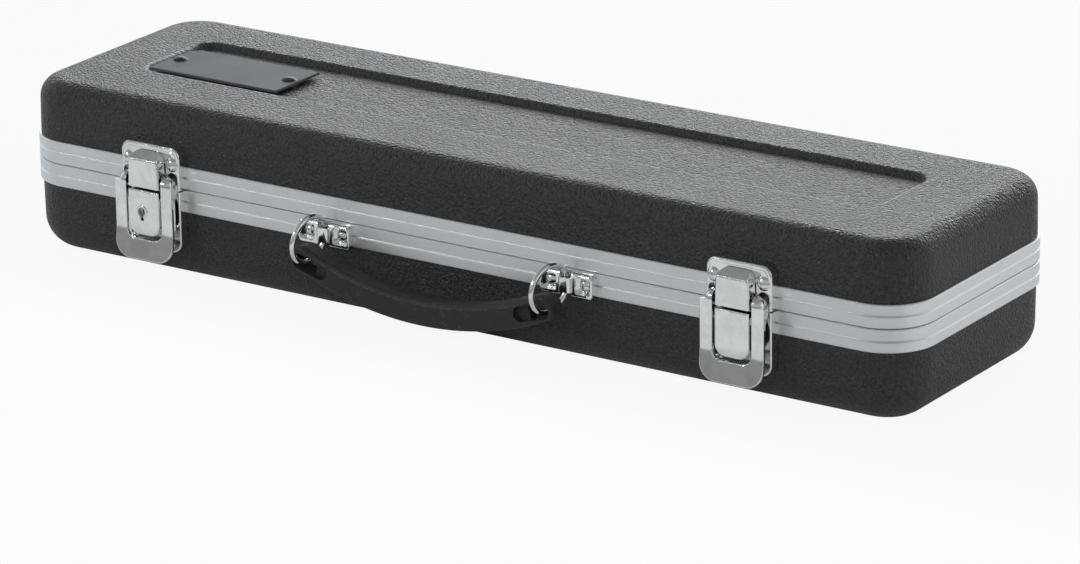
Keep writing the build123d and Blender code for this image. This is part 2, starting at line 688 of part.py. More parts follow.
def hub_rounding(hub):
    """What is cut away to dome the upper half of a hub's outer end."""
    low = HUB_OUTER - HUB_DOME
    square = Pos(low + HUB_DOME, hub) * Rectangle(2 * HUB_DOME, 2 * HUB_DOME)
    section = square - Pos(low, hub - HUB_DOME) * Circle(HUB_DOME)
    ring = revolve(section, axis=Axis.X, revolution_arc=360)
    upper = Pos(low + HUB_DOME, 2 * hub, 0) * Box(4 * HUB_DOME, 4 * hub, 4 * hub)
    return Pos(0, PIVOT_Z, PIVOT_OUT) * (ring & upper)


def lever_pins(x):
    """The two short pins that the lever turns on."""
    inward, outward = PIVOT_PIN_PAST
    pin = side_prism(side_disc(PIVOT_PIN, PIVOT_OUT, PIVOT_Z), INNER_HALF - inward, HUB_OUTER + outward)
    other = mirror(pin, Plane.YZ)
    return Compound(children=[front_place(x) * pin, front_place(x) * other])


def hasp_pin(x):
    """The pin that links the hasp to the lever."""
    reach = INNER_HALF + LINK_ARM_SHEET
    return front_place(x) * side_prism(side_disc(LINK_PIN, LINK_OUT, LINK_Z), -reach, reach)


def hood_block(inset):
    """The hood's outer form drawn in by inset, reaching past its back and foot when hollow."""
    back = PLATE_PROUD + HASP_BACK_GAP
    skirt = PLATE_PROUD + HASP_SIDE_GAP
    shoulder = HASP_BACK_Z - HASP_CROWN
    slope = (HASP_BACK_Z - HASP_TOP_Z) / (FRONT_OUT - back)
    lean = (HASP_LOW_HALF - HASP_TOP_HALF) / (HASP_TOP_Z - HASP_LOW_Z)
    low = HASP_LOW_Z - inset
    high = HASP_BACK_Z - inset
    wide = HASP_LOW_HALF + lean * inset - inset
    narrow = wide - lean * (high - low)
    front = FRONT_OUT - inset
    outline = face_of((-wide, low), (wide, low), (narrow, high), (-narrow, high))
    outline = fillet(outline.vertices().group_by(Axis.Y)[-1], HASP_CROWN - inset)
    block = extrude(outline, amount=front)
    if not inset:
        rim = [edge for edge in block.faces().sort_by(Axis.Z)[-1].edges() if edge.center().Y > low + 1]
        block = fillet(rim, HASP_EDGE)
    drop = inset * sqrt(1 + slope * slope)
    brow = (front, HASP_TOP_Z + slope * inset - drop)
    if inset:
        side = face_of((front, low), brow, (-1, brow[1] + slope * (front + 1)), (-1, low))
    else:
        side = face_of((front, low), brow, (back, HASP_BACK_Z), (back, shoulder), (skirt, shoulder - 1),
                       (skirt, low))
        corner = side.vertices().sort_by_distance((brow[0], brow[1], 0))[0]
        side = fillet(corner, HASP_BROW)
    return block & side_prism(side, -wide - 1, wide + 1)


def hasp(x, locked):
    """The hood, with a rolled eye at its foot and, under the lock, a tail."""
    hood = hood_block(0) - hood_block(HASP_SHEET)
    eye = side_prism(side_disc(LINK_EYE, LINK_OUT, LINK_Z), -HASP_LOW_HALF, HASP_LOW_HALF)
    hood = hood + eye
    if locked:
        height = LINK_Z - TAIL_LOW_Z
        hood = hood + Pos(LOCK_X, LINK_Z - height / 2, LINK_OUT) * Box(2 * TAIL_HALF, height, TAIL_SHEET)
    bore = side_disc(LINK_PIN + HOLE_CLEARANCE, LINK_OUT, LINK_Z)
    return front_place(x) * (hood - side_prism(bore, -HASP_LOW_HALF - 1, HASP_LOW_HALF + 1))


def lock_cover(x, locked):
    """The cover inside the lever; the left one has a keyhole with a raised bead."""
    outline = rounded_ends(COVER_WIDTH, COVER_LOW_Z, COVER_TOP_Z, COVER_CORNER, False)
    outer = Pos(0, 0, PLATE_PROUD) * extrude(outline, amount=FRONT_OUT - PLATE_PROUD)
    outer = fillet(outer.faces().sort_by(Axis.Z)[-1].edges(), COVER_EDGE)
    core = rounded_ends(COVER_WIDTH - 2 * HASP_SHEET, COVER_LOW_Z + HASP_SHEET, COVER_TOP_Z + 1,
                        COVER_CORNER - HASP_SHEET, False)
    cover = outer - extrude(core, amount=FRONT_OUT - HASP_SHEET)
    side_room = COVER_TOP_Z - COVER_SIDE_Z + 1
    depth = FRONT_OUT - HASP_SHEET
    cover = cover - Pos(0, COVER_SIDE_Z + side_room / 2, depth / 2) * Box(2 * COVER_WIDTH, side_room, depth)
    bevel = face_of((depth, COVER_TOP_Z - COVER_BEVEL), (depth + COVER_BEVEL, COVER_TOP_Z),
                    (depth, COVER_TOP_Z))
    cover = cover - side_prism(bevel, -COVER_WIDTH, COVER_WIDTH)
    if locked:
        bead = post(LOCK_X, LOCK_Z, FRONT_OUT - 0.5, FRONT_OUT + BEAD_PROUD, BEAD_OUTER)
        bead = fillet(bead.edges().group_by(Axis.Z)[-1], BEAD_PROUD * 0.9)
        cover = cover + bead - post(LOCK_X, LOCK_Z, PLATE_PROUD, FRONT_OUT + 1, BEAD_INNER)
        slot = Pos(LOCK_X, LOCK_Z - KEY_SLOT_DROP / 2, FRONT_OUT) * Box(KEY_SLOT, KEY_SLOT_DROP, 4)
        cover = cover - slot
    return front_place(x) * cover


def lock_plug(x):
    """The turning plug: nose in the keyhole, disc, blocking cam and a stub in the plate."""
    disc_low, disc_high = [FRONT_OUT - sunk for sunk in LOCK_DISC_SUNK]
    nose = FRONT_OUT - LOCK_NOSE_SUNK
    cam_low = FRONT_OUT - CAM_SUNK
    plug = post(0, 0, PLATE_PROUD - LOCK_STUB_PAST, disc_low, LOCK_STUB)
    plug = plug + post(0, 0, disc_low, disc_high, LOCK_DISC) + post(0, 0, disc_high, nose, LOCK_NOSE)
    plug = plug - Pos(0, 0, nose) * Box(*KEY_CUT)
    cam = Pos(0, -CAM_LENGTH / 2, (cam_low + disc_low) / 2) * Box(CAM_WIDTH, CAM_LENGTH, disc_low - cam_low)
    cam = fillet(cam.edges().filter_by(Axis.Z).group_by(Axis.Y)[0], 0.9)
    return front_place(x) * Pos(LOCK_X, LOCK_Z, 0) * (plug + cam)


# Handle

def handle_grip():
    """The arched grip; each end has a slot, shallow in its inner part and through in its outer."""
    half = degrees(asin(GRIP_HALF_SPAN / GRIP_ARC))
    arc = CenterArc((GRIP_X, GRIP_MID_Z + GRIP_ARC), GRIP_ARC, 270 - half, 2 * half)
    bar = Pos(0, 0, GRIP_OUT - GRIP_THICK / 2) * extrude(SlotArc(arc, GRIP_HEIGHT), amount=GRIP_THICK)
    ends = bar.faces().sort_by(Axis.Z)
    bar = fillet(ends[0].edges() + ends[-1].edges(), GRIP_EDGE)
    low = GRIP_OUT - GRIP_THICK / 2
    for side in SIDES.values():
        place = Pos(GRIP_X + side * SLOT_SPAN, SLOT_Z, low) * Rot(0, 0, side * SLOT_TILT)
        slot = place * extrude(SlotOverall(*SLOT_SIZE), amount=GRIP_THICK)
        step_x = side * (SLOT_STEP - SLOT_SIZE[0]) / 2
        solid = GRIP_THICK - 2 * SLOT_STEP_SINK
        step = place * Pos(step_x, 0, GRIP_THICK / 2) * Box(SLOT_STEP, SLOT_SIZE[1] + 1, solid)
        bar = bar - (slot - step)
    return front_place(0) * bar


def bracket_x(name):
    return BRACKET_SHIFT + SIDES[name] * BRACKET_SPAN


def handle_ring(name):
    """A round wire ring that passes behind its bracket's strap, leaning in two directions."""
    height, yaw, roll = RING_POSES[name]
    ring = Rot(0, 90, 0) * Torus(RING_RADIUS, RING_WIRE)
    lean = Rot(0, -yaw, 0) * Rot(0, 0, -roll)
    return front_place(bracket_x(name)) * Pos(0, height, RING_IN) * lean * Pos(0, 0, RING_RADIUS) * ring


def handle_bracket(name):
    """A formed plate with two rivet pockets and a rounded strap over the ring's channel."""
    middle = Plane((0, BRACKET_Z, 0))
    outline = middle * RectangleRounded(BRACKET_LENGTH, BRACKET_HEIGHT, BRACKET_CORNER)
    block = extrude(outline, amount=BRACKET_PROUD)
    block = fillet(block.faces().sort_by(Axis.Z)[-1].edges(), 0.6)
    pocket = middle * RectangleRounded(BRACKET_POCKET, BRACKET_POCKET - 0.4, 1.2)
    pocket = extrude(pocket, amount=BRACKET_PROUD)
    for hand in (-1, 1):
        block = block - Pos(hand * BRACKET_RIVET_X, 0, BRACKET_WALL) * pocket
    high = STRAP_IN + STRAP_SHEET
    mouth = Pos(0, BRACKET_Z, 0) * Box(2 * MOUTH_HALF, 2 * BRACKET_HEIGHT, 2 * high)
    strap = Pos(0, BRACKET_Z, high / 2) * Box(STRAP_WIDTH, STRAP_HEIGHT, high)
    mouth = mouth - strap
    front = strap.edges().filter_by(Axis.Y).group_by(Axis.Z)[-1]
    strap = fillet(front, STRAP_ROUND)
    channel = Pos(0, BRACKET_Z, 0) * Box(2 * CHANNEL_HALF, 2 * BRACKET_HEIGHT, 2 * STRAP_IN)
    return without(front_place(bracket_x(name)) * (block - mouth + strap - channel),
                   rivet_holes(bracket_rivet_places(), BRACKET_RIVET, 8))


def build():
    """Every node of the assembly, by name."""
    lid_grip = LID_STEP + WALL
    base_grip = BASE_STEP + WALL
    nodes = {
        "base_shell": base_shell(),
        "base_valance": base_valance(),
        "lid_shell": lid_shell(),
        "lid_valance": lid_valance(),
        "base_insert": base_insert(),
        "lid_pad": lid_pad(),
        "nameplate": nameplate(),
        "nameplate_rivets": set_of_rivets(nameplate_rivet_places(), PLATE_RIVET,
                                          NAMEPLATE_THICK + NAMEPLATE_RISE + WALL),
        "keeper_rivets": set_of_rivets(keeper_rivet_places(), LARGE_RIVET, PLATE_PROUD + lid_grip + 0.2),
        "catch_rivets": set_of_rivets(catch_rivet_places(), SMALL_RIVET, PLATE_PROUD + base_grip + 0.3),
        "bracket_rivets": set_of_rivets(bracket_rivet_places(), BRACKET_RIVET, BRACKET_WALL + base_grip),
        "base_hinge_rivets": set_of_rivets(hinge_rivet_places(-1), SMALL_RIVET, HINGE_SHEET + base_grip),
        "lid_hinge_rivets": set_of_rivets(hinge_rivet_places(1), SMALL_RIVET, HINGE_SHEET + lid_grip),
        "lock_plug": lock_plug(latch_x(SIDES["left"])),
        "handle_grip": handle_grip(),
    }
    for name, side in SIDES.items():
        locked = name == "left"
        latch = latch_x(side)
        nodes[name + "_keeper_plate"] = keeper_plate(latch)
        nodes[name + "_catch_plate"] = catch_plate(latch, locked)
        nodes[name + "_lock_cover"] = lock_cover(latch, locked)
        nodes[name + "_lever"] = lever(latch)
        nodes[name + "_lever_pins"] = lever_pins(latch)
        nodes[name + "_hasp"] = hasp(latch, locked)
        nodes[name + "_hasp_pin"] = hasp_pin(latch)
        nodes[name + "_handle_bracket"] = handle_bracket(name)
        nodes[name + "_handle_ring"] = handle_ring(name)
        nodes[name + "_base_hinge_leaf"] = hinge_leaf(side * HINGE_X, -1)
        nodes[name + "_lid_hinge_leaf"] = hinge_leaf(side * HINGE_X, 1)
        nodes[name + "_hinge_pin"] = hinge_pin(side * HINGE_X)
    return nodes


os.makedirs("parts", exist_ok=True)
for node_name, shape in build().items():
    export_step(shape, f"parts/{node_name}.step")
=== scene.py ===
import math

import bmesh
import bpy
from bpy.props import FloatProperty, FloatVectorProperty, IntProperty, PointerProperty
from mathutils import Matrix, Vector
from mathutils.kdtree import KDTree


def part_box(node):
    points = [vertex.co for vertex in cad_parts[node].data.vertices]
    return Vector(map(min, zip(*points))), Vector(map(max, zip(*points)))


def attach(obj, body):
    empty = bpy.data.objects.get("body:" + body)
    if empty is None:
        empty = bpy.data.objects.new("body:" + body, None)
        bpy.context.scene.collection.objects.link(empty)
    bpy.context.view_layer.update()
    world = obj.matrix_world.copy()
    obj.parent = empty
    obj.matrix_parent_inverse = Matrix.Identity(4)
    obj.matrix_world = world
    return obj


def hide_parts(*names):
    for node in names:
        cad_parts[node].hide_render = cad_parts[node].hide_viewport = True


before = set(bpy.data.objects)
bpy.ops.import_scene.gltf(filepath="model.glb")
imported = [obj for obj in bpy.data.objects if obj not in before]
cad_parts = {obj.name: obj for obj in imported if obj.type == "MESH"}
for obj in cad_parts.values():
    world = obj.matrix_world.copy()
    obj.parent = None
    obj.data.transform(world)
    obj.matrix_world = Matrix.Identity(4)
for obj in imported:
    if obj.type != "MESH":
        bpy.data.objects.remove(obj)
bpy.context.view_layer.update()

MM = 0.001

bl_info = {
    "name": "Flute Case",
    "version": (1, 0, 0),
    "blender": (4, 5, 0),
    "location": "View3D > Sidebar > Flute Case",
    "description": "Finishes, lining and studio for a moulded flute case",
    "category": "Object",
}

# Nodes that share a finish
SHELLS = ("base_shell", "lid_shell")
VALANCES = ("base_valance", "lid_valance")
SIDES = ("left", "right")
LATCH_PLATES = [f"{side}_{part}" for side in SIDES for part in ("keeper_plate", "catch_plate")]
LATCH_FRONTS = [f"{side}_{part}" for side in SIDES for part in ("lever", "hasp", "lock_cover")]
DOMED_RIVETS = ("keeper_rivets", "catch_rivets", "bracket_rivets")
CARRIERS = [f"{side}_{part}" for side in SIDES for part in ("handle_ring", "handle_bracket")]
HINGE_LEAVES = [f"{side}_{half}_hinge_leaf" for side in SIDES for half in ("base", "lid")]
HINGE_RIVETS = ("base_hinge_rivets", "lid_hinge_rivets")
PINS = [f"{side}_{part}" for side in SIDES for part in ("hinge_pin", "lever_pins", "hasp_pin")]

# The photograph's frame, and the camera solved from its straight edges
PHOTO_WIDTH = 1080
PHOTO_HEIGHT = 564
FOCAL_PIXELS = 5662.8
PRINCIPAL_POINT = (526.06, 254.87)
SENSOR_WIDTH = 36.0
COOL_WHITE = (0.945, 0.98, 1.0)
PAPER_WHITE = (0.974, 0.982, 0.974)

# The table's front and back edges and half its width, its drop under the case, where the case's shadow fades
# out on it, and how much of that shadow the camera sees
FLOOR_EDGES = (-0.128, 15.0, 15.0)
FLOOR_DROP = 0.0002
SHADOW_FRONT = 0.05
SHADOW_BACK = (0.25, 0.6)
SHADOW_SHARE = 0.07

# Brightness around the case: the wall behind the camera, the ceiling, the room below it, and the ground
CAMERA_WALL = 0.22
CEILING = 0.26
ROOM = 0.26
GROUND = 0.68

# Lamps, in metres and watts: mirrored lamps show in the polished fittings
SOFTBOXES = {
    "front_softbox": {"place": (1.2, -2.1, 1.4), "aim": (0, -0.1, 0), "size": (1.4, 1.0), "power": 36.0,
                      "mirrored": False},
    "key_softbox": {"place": (-1.06, -1.47, 0.9), "aim": (0, -0.1, 0), "size": (0.3, 0.3), "power": 6.0,
                    "mirrored": True},
    "back_softbox": {"place": (-0.9, 2.4, 0.9), "aim": (0, 0, 0.05), "size": (2.4, 0.9), "power": 30.0,
                     "mirrored": True},
}

# The rim of the panel sunk in the lid's top, in metres. The painted highlight line along it has a full and an
# outer half width, and it fades towards the back.
RECESS_CENTRE = (-0.0016, 0.0028)
RECESS_HALF = (0.1829, 0.0247)
RECESS_CORNER = 0.009
RIM_LOW_Z = 0.0745
RIM_LINE = (0.0003, 0.0013)
RIM_FADE_Y = (0.012, 0.024)

# The centre that the grip bends about, and the radius of the moulded ridge along its front, in metres
GRIP_CENTRE = (0.0002, 0.1605)
GRIP_RIDGE = 0.1412

# The padding, in millimetres
RIM_BAND = 2.5
CROWN_REACH = 9.0
ROLL_REACH = 2.4
SMOOTH_BAND = 9.0
SMOOTH_PASSES = 4
PAD_FACE_BAND = 8.0
SEAM_WIDTH = 4.0
CREASE_WIDTH = 1.7
HELD_WIDTH = 2.4
CLOTH_FRAMES = 20


# Shader building

class Value:
    """A number that changes over a surface. Arithmetic on it adds Math nodes."""

    def __init__(self, finish, socket):
        self.finish = finish
        self.socket = socket

    def math(self, operation, *values):
        node = self.finish.add("ShaderNodeMath", {"operation": operation}, dict(enumerate(values)))
        return Value(self.finish, node.outputs[0])

    def __add__(self, other):
        return self.math("ADD", self, other)

    def __radd__(self, other):
        return self.math("ADD", other, self)

    def __sub__(self, other):
        return self.math("SUBTRACT", self, other)

    def __rsub__(self, other):
        return self.math("SUBTRACT", other, self)

    def __mul__(self, other):
        return self.math("MULTIPLY", self, other)

    def plain(self, operation):
        """A Math operation on this number alone."""
        return self.math(operation, self)

    def over(self, low):
        """The larger of this number and another."""
        return self.math("MAXIMUM", self, low)

    def under(self, high):
        """The smaller of this number and another."""
        return self.math("MINIMUM", self, high)

    def above(self, low, high):
        """Rises smoothly from 0 at low to 1 at high."""
        settings = {"interpolation_type": "SMOOTHSTEP"}
        sockets = {"Value": self, "From Min": low, "From Max": high}
        node = self.finish.add("ShaderNodeMapRange", settings, sockets)
        return Value(self.finish, node.outputs["Result"])

    def below(self, low, high):
        """Falls smoothly from 1 at low to 0 at high."""
        return 1 - self.above(low, high)


class Finish:
    """One node material, or the world, under construction."""

    def __init__(self, owner):
        owner.use_nodes = True
        self.owner = owner
        self.tree = owner.node_tree
        self.tree.nodes.clear()

    def add(self, kind, settings=None, sockets=None):
        """Adds a node: its settings first, then the values or links of its sockets."""
        node = self.tree.nodes.new(kind)
        for name, value in (settings or {}).items():
            setattr(node, name, value)
        for key, value in (sockets or {}).items():
            if isinstance(key, int) or key in node.inputs:
                socket = node.inputs[key]
            else:
                socket = next(item for item in node.inputs if item.identifier == key)
            if isinstance(value, Value):
                self.tree.links.new(value.socket, socket)
            elif isinstance(value, bpy.types.NodeSocket):
                self.tree.links.new(value, socket)
            else:
                socket.default_value = value
        return node

    def place(self, stretch=(1.0, 1.0, 1.0), turn=(0.0, 0.0, 0.0)):
        """Object coordinates, in metres, stretched and turned."""
        coordinates = self.add("ShaderNodeTexCoord")
        sockets = {"Vector": coordinates.outputs["Object"], "Scale": stretch, "Rotation": turn}
        return self.add("ShaderNodeMapping", None, sockets).outputs["Vector"]

    def axes(self):
        """The three object coordinates, in metres."""
        parts = self.add("ShaderNodeSeparateXYZ", None, {"Vector": self.place()})
        return [Value(self, output) for output in parts.outputs]

    def noise(self, scale, detail=3.0, roughness=0.5, place=None):
        sockets = {"Vector": place or self.place(), "Scale": scale, "Detail": detail, "Roughness": roughness}
        return Value(self, self.add("ShaderNodeTexNoise", None, sockets).outputs["Fac"])

    def cells(self, scale, smoothness):
        """Distance to the nearest of many scattered points."""
        sockets = {"Vector": self.place(), "Scale": scale, "Smoothness": smoothness}
        node = self.add("ShaderNodeTexVoronoi", {"feature": "SMOOTH_F1"}, sockets)
        return Value(self, node.outputs["Distance"])

    def blend(self, first, second, amount):
        """One colour turning into another; either may be the output of a node."""
        sockets = {"Factor_Float": amount, "A_Color": first, "B_Color": second}
        node = self.add("ShaderNodeMix", {"data_type": "RGBA"}, sockets)
        return next(item for item in node.outputs if item.identifier == "Result_Color")

    def bump(self, height, strength, depth):
        sockets = {"Height": height, "Strength": strength, "Distance": depth}
        return self.add("ShaderNodeBump", None, sockets).outputs["Normal"]

    def surface(self, **sockets):
        """Closes the material with a Principled shader."""
        named = {name.replace("_", " "): value for name, value in sockets.items()}
        shader = self.add("ShaderNodeBsdfPrincipled", None, named)
        return self.output(shader.outputs["BSDF"])

    def output(self, shader):
        kind = "World" if isinstance(self.owner, bpy.types.World) else "Material"
        self.add(f"ShaderNodeOutput{kind}", None, {"Surface": shader})
        return self.owner


def shade(colour, factor=1.0):
    """A colour with its alpha, lightened or darkened by a factor."""
    return (*[channel * factor for channel in colour], 1.0)


def new_finish(name):
    return Finish(bpy.data.materials.new(name))


# Finishes

def recess_rim_highlight(finish):
    """Mask of a painted highlight: 1 along the front and end rims of the lid's sunk panel, 0 beside them."""
    x, y, z = finish.axes()
    half_x, half_y = RECESS_HALF
    corner = RECESS_CORNER
    across = (x - RECESS_CENTRE[0]).plain("ABSOLUTE") - (half_x - corner)
    along = (y - RECESS_CENTRE[1]).plain("ABSOLUTE") - (half_y - corner)
    out_x = across.over(0.0)
    out_y = along.over(0.0)
    reach = (out_x * out_x + out_y * out_y).plain("SQRT")
    inside = across.over(along)
    edge = (reach + inside.under(0.0) - corner).plain("ABSOLUTE")
    line = edge.below(*RIM_LINE)
    return line * z.above(RIM_LOW_Z, RIM_LOW_Z + MM) * y.below(*RIM_FADE_Y)


def moulded_plastic(sizes):
    """Black moulded plastic with a pebbled grain, glossier where it is worn."""
    finish = new_finish("pebbled_plastic")
    pebble = finish.cells(1 / (sizes.pebble * MM), 0.15)
    worm = finish.noise(1 / (1.3 * sizes.pebble * MM), 1.0)
    fine = finish.noise(2.6 / (sizes.pebble * MM), 2.0, 0.6)
    height = (1 - pebble * 1.3) + worm * 1.6 + fine * 0.5
    wander = finish.noise(24.0, 2.0)
    patch = finish.noise(150.0, 2.0).above(0.42, 0.60)
    spark = finish.noise(1 / (0.7 * sizes.pebble * MM), 0.0).above(0.64, 0.70) * patch
    rim = recess_rim_highlight(finish)
    grit = (worm * 0.6 + fine * 0.4).above(0.38, 0.62)
    colour = finish.blend(shade(sizes.plastic, 0.5), shade(sizes.plastic, 1.6), grit)
    # Painted highlight: the sunk panel's front and end rims are lightened to show the light they catch.
    colour = finish.blend(colour, shade(sizes.plastic, 14.0), rim)
    roughness = 0.34 + grit * 0.14 + wander * 0.08 - spark * 0.24 - rim * 0.1
    normal = finish.bump(height, 1.0, sizes.pebble_depth * MM)
    return finish.surface(Base_Color=colour, Roughness=roughness, Normal=normal, Specular_IOR_Level=0.48)


def satin_aluminium(sizes):
    """Extruded aluminium with fine die lines along its length."""
    finish = new_finish("satin_aluminium")
    lines = finish.noise(1.0, 3.0, 0.6, finish.place((14.0, 14.0, 5200.0)))
    clouds = finish.noise(42.0, 3.0)
    speck = finish.noise(2600.0, 1.0)
    tone = (lines * 0.6 + clouds * 0.25 + speck * 0.15).above(0.3, 0.7)
    colour = finish.blend(shade(sizes.aluminium, 0.95), shade(sizes.aluminium, 1.04), tone)
    roughness = 0.36 + clouds * 0.10 + lines * 0.06
    normal = finish.bump(lines + speck * 0.5, 0.2, 0.00004)
    return finish.surface(Base_Color=colour, Metallic=1.0, Roughness=roughness, Normal=normal)


def bright_nickel(name, colour, gloss, wobble):
    """Polished plate: faint smears, hairlines and a slight waviness from the press."""
    finish = new_finish(name)
    smear = finish.noise(120.0, 4.0, 0.6)
    hairline = finish.noise(1.0, 2.0, 0.5, finish.place((260.0, 260.0, 5200.0), (0.3, 0.5, 0.2)))
    wave = finish.noise(90.0, 1.0)
    tint = finish.blend(shade(colour, 0.92), shade(colour, 1.04), smear.above(0.35, 0.65))
    roughness = gloss + smear * 0.06 + hairline.above(0.62, 0.75) * 0.08
    normal = finish.bump(wave + hairline * 0.04, wobble, 0.0004)
    return finish.surface(Base_Color=tint, Metallic=1.0, Roughness=roughness, Normal=normal)


def blank_plate(sizes):
    """A dark satin plate, brushed along its length, worn lighter here and there."""
    finish = new_finish("blank_plate")
    brushed = finish.noise(1.0, 4.0, 0.6, finish.place((120.0, 4200.0, 4200.0)))
    handled = finish.noise(70.0, 4.0, 0.55).above(0.35, 0.7)
    grit = finish.noise(1800.0, 2.0)
    colour = finish.blend(shade(sizes.plate, 0.8), shade(sizes.plate, 1.5), handled * 0.3 + brushed * 0.6)
    roughness = 0.50 + brushed * 0.14 + handled * 0.05
    normal = finish.bump(brushed + grit * 0.5, 0.6, 0.00006)
    return finish.surface(Base_Color=colour, Metallic=0.15, Roughness=roughness, Normal=normal,
                          Specular_IOR_Level=0.3)


def black_enamel():
    """Gloss black paint with an orange-peel skin."""
    finish = new_finish("black_enamel")
    peel = finish.noise(1500.0, 2.0)
    chip = finish.noise(900.0, 4.0).above(0.66, 0.72)
    colour = finish.blend((0.008, 0.008, 0.009, 1.0), (0.05, 0.05, 0.05, 1.0), chip)
    normal = finish.bump(peel, 0.3, 0.0001)
    return finish.surface(Base_Color=colour, Roughness=0.42 + chip * 0.2, Normal=normal)


def grip_moulding(sizes):
    """Soft black moulding with a dull skin, faint scuffs and a ridge along its front dotted with painted
    highlight.
    """
    finish = new_finish("grip_moulding")
    skin = finish.noise(1900.0, 3.0, 0.6)
    scuff = finish.noise(1.0, 5.0, 0.6, finish.place((260.0, 90.0, 420.0), (0.2, 0.1, 0.5))).above(0.56, 0.72)
    cloud = finish.noise(80.0, 3.0)
    x, _, z = finish.axes()
    along = x - GRIP_CENTRE[0]
    up = z - GRIP_CENTRE[1]
    reach = (along * along + up * up).plain("SQRT")
    ridge = (reach - GRIP_RIDGE).plain("ABSOLUTE").below(0.15 * MM, 0.5 * MM)
    # Painted highlight: lighter dots along the moulded ridge show the light it catches.
    ridge_highlight_dots = ridge * finish.noise(1 / (1.1 * MM), 0.0).above(0.44, 0.56)
    colour = finish.blend(shade(sizes.grip, 0.8), shade(sizes.grip, 3.2), scuff * 0.5 + cloud * 0.15)
    colour = finish.blend(colour, shade(sizes.grip, 5.0), ridge_highlight_dots * 0.45)
    roughness = 0.46 + skin * 0.16 + scuff * 0.1
    normal = finish.bump(skin + scuff * 0.4 + ridge * 0.8, 0.9, 0.00018)
    return finish.surface(Base_Color=colour, Roughness=roughness, Normal=normal, Specular_IOR_Level=0.4)


def plain_steel():
    """Turned steel pins."""
    finish = new_finish("pin_steel")
    turned = finish.noise(1.0, 2.0, 0.5, finish.place((9000.0, 300.0, 300.0)))
    colour = finish.blend((0.42, 0.42, 0.42, 1.0), (0.6, 0.6, 0.59, 1.0), turned)
    normal = finish.bump(turned, 0.4, 0.00003)
    return finish.surface(Base_Color=colour, Metallic=1.0, Roughness=0.28 + turned * 0.1, Normal=normal)


def plush(name, tint):
    """Short plush: pile direction patches, fibre tips and lint."""
    finish = new_finish(name)
    patch = finish.noise(38.0, 4.0, 0.6)
    tuft = finish.cells(1500.0, 0.5)
    fibre = finish.noise(5200.0, 2.0)
    lie = (patch * 0.7 + tuft * 0.5 + fibre * 0.2).above(0.35, 0.85)
    colour = finish.blend(shade(tint, 0.55), shade(tint, 1.7), lie)
    normal = finish.bump(fibre * 0.5 + tuft + patch * 0.8, 0.8, 0.0005)
    return finish.surface(Base_Color=colour, Roughness=0.85 + fibre * 0.1, Normal=normal, Sheen_Weight=0.6,
                          Sheen_Roughness=0.4, Sheen_Tint=shade(tint, 6.0))


def dress(names, finish):
    """Gives a finish to the CAD nodes with these names."""
    for name in names:
        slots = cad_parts[name].material_slots
        if not slots:
            raise RuntimeError(f"{name} has no material slot")
        for slot in slots:
            slot.material = finish


# Settings

def colour_property(name, description, default):
    return FloatVectorProperty(name=name, description=description, default=default, size=3, min=0.0, max=1.0,
                               subtype="COLOR")


def length_property(name, description, default):
    return FloatProperty(name=name, description=description, default=default, min=0.0)


class FluteCaseFinishes(bpy.types.PropertyGroup):
    """Colours and grain."""

    plastic: colour_property("Plastic", "Colour of the moulded shells", (0.012, 0.013, 0.014))
    aluminium: colour_property("Aluminium", "Colour of the valances", (0.82, 0.825, 0.83))
    nickel: colour_property("Nickel", "Colour of the latches, rings and brackets", (0.86, 0.865, 0.86))
    plate: colour_property("Plate", "Colour of the blank nameplate", (0.064, 0.068, 0.072))
    grip: colour_property("Grip", "Colour of the carrying handle", (0.015, 0.0155, 0.0165))
    plush: colour_property("Plush", "Colour of the lining", (0.036, 0.037, 0.043))
    pebble: length_property("Pebble", "Width of one pebble of the grain, in millimetres", 1.15)
    pebble_depth: length_property("Pebble depth", "Depth of the grain, in millimetres", 0.40)


class FluteCaseLining(bpy.types.PropertyGroup):
    """Shape of the padding."""

    voxel: length_property("Voxel", "Spacing of the base lining's mesh, in millimetres", 2.2)
    roll: length_property("Roll", "Drop of the plush where it rolls over a rim, in millimetres", 1.8)
    crown: length_property("Crown", "Rise of the plush between rims, in millimetres", 1.0)
    pad_voxel: length_property("Pad voxel", "Spacing of the lid pad's mesh, in millimetres", 4.4)
    panels: IntProperty(name="Panels", description="Stitched panels along the lid's pad", default=6, min=1)
    border: length_property("Border", "Distance of the border seam from the pad's edge, in millimetres", 13.0)
    stitch: length_property("Stitch", "Depth of the stitched lines, in millimetres", 4.0)
    crease: length_property("Crease", "Depth of the thread's crease in each line, in millimetres", 1.8)
    pressure: FloatProperty(name="Pressure", description="Pressure of the stuffing", default=12.0, min=0.0)
    rise: length_property("Rise", "Furthest the stuffing may push the cover, in millimetres", 3.6)


class FluteCaseStudio(bpy.types.PropertyGroup):
    """Camera and light."""

    azimuth: FloatProperty(name="Azimuth", description="Camera's turn from the front towards the right end",
                           default=math.radians(33.977), subtype="ANGLE", unit="ROTATION")
    elevation: FloatProperty(name="Elevation", description="Camera's height angle",
                             default=math.radians(18.751), subtype="ANGLE", unit="ROTATION")
    roll: FloatProperty(name="Roll", description="Camera's turn about its own axis",
                        default=math.radians(-0.764), subtype="ANGLE", unit="ROTATION")
    distance: FloatProperty(name="Distance", description="Camera's distance from its target",
                            default=2.37166, subtype="DISTANCE", unit="LENGTH")
    target: FloatVectorProperty(name="Target", description="Point on the camera's axis",
                                default=(0.000514, 0.0, 0.018249), subtype="TRANSLATION", unit="LENGTH")


# Stage

def camera_axes(studio):
    """The camera's right, up and back directions."""
    a, e, r = studio.azimuth, studio.elevation, studio.roll
    back = Vector((math.sin(a) * math.cos(e), -math.cos(a) * math.cos(e), math.sin(e)))
    right = Vector((math.cos(a), math.sin(a), 0.0))
    up = back.cross(right)
    return right * math.cos(r) + up * math.sin(r), up * math.cos(r) - right * math.sin(r), back


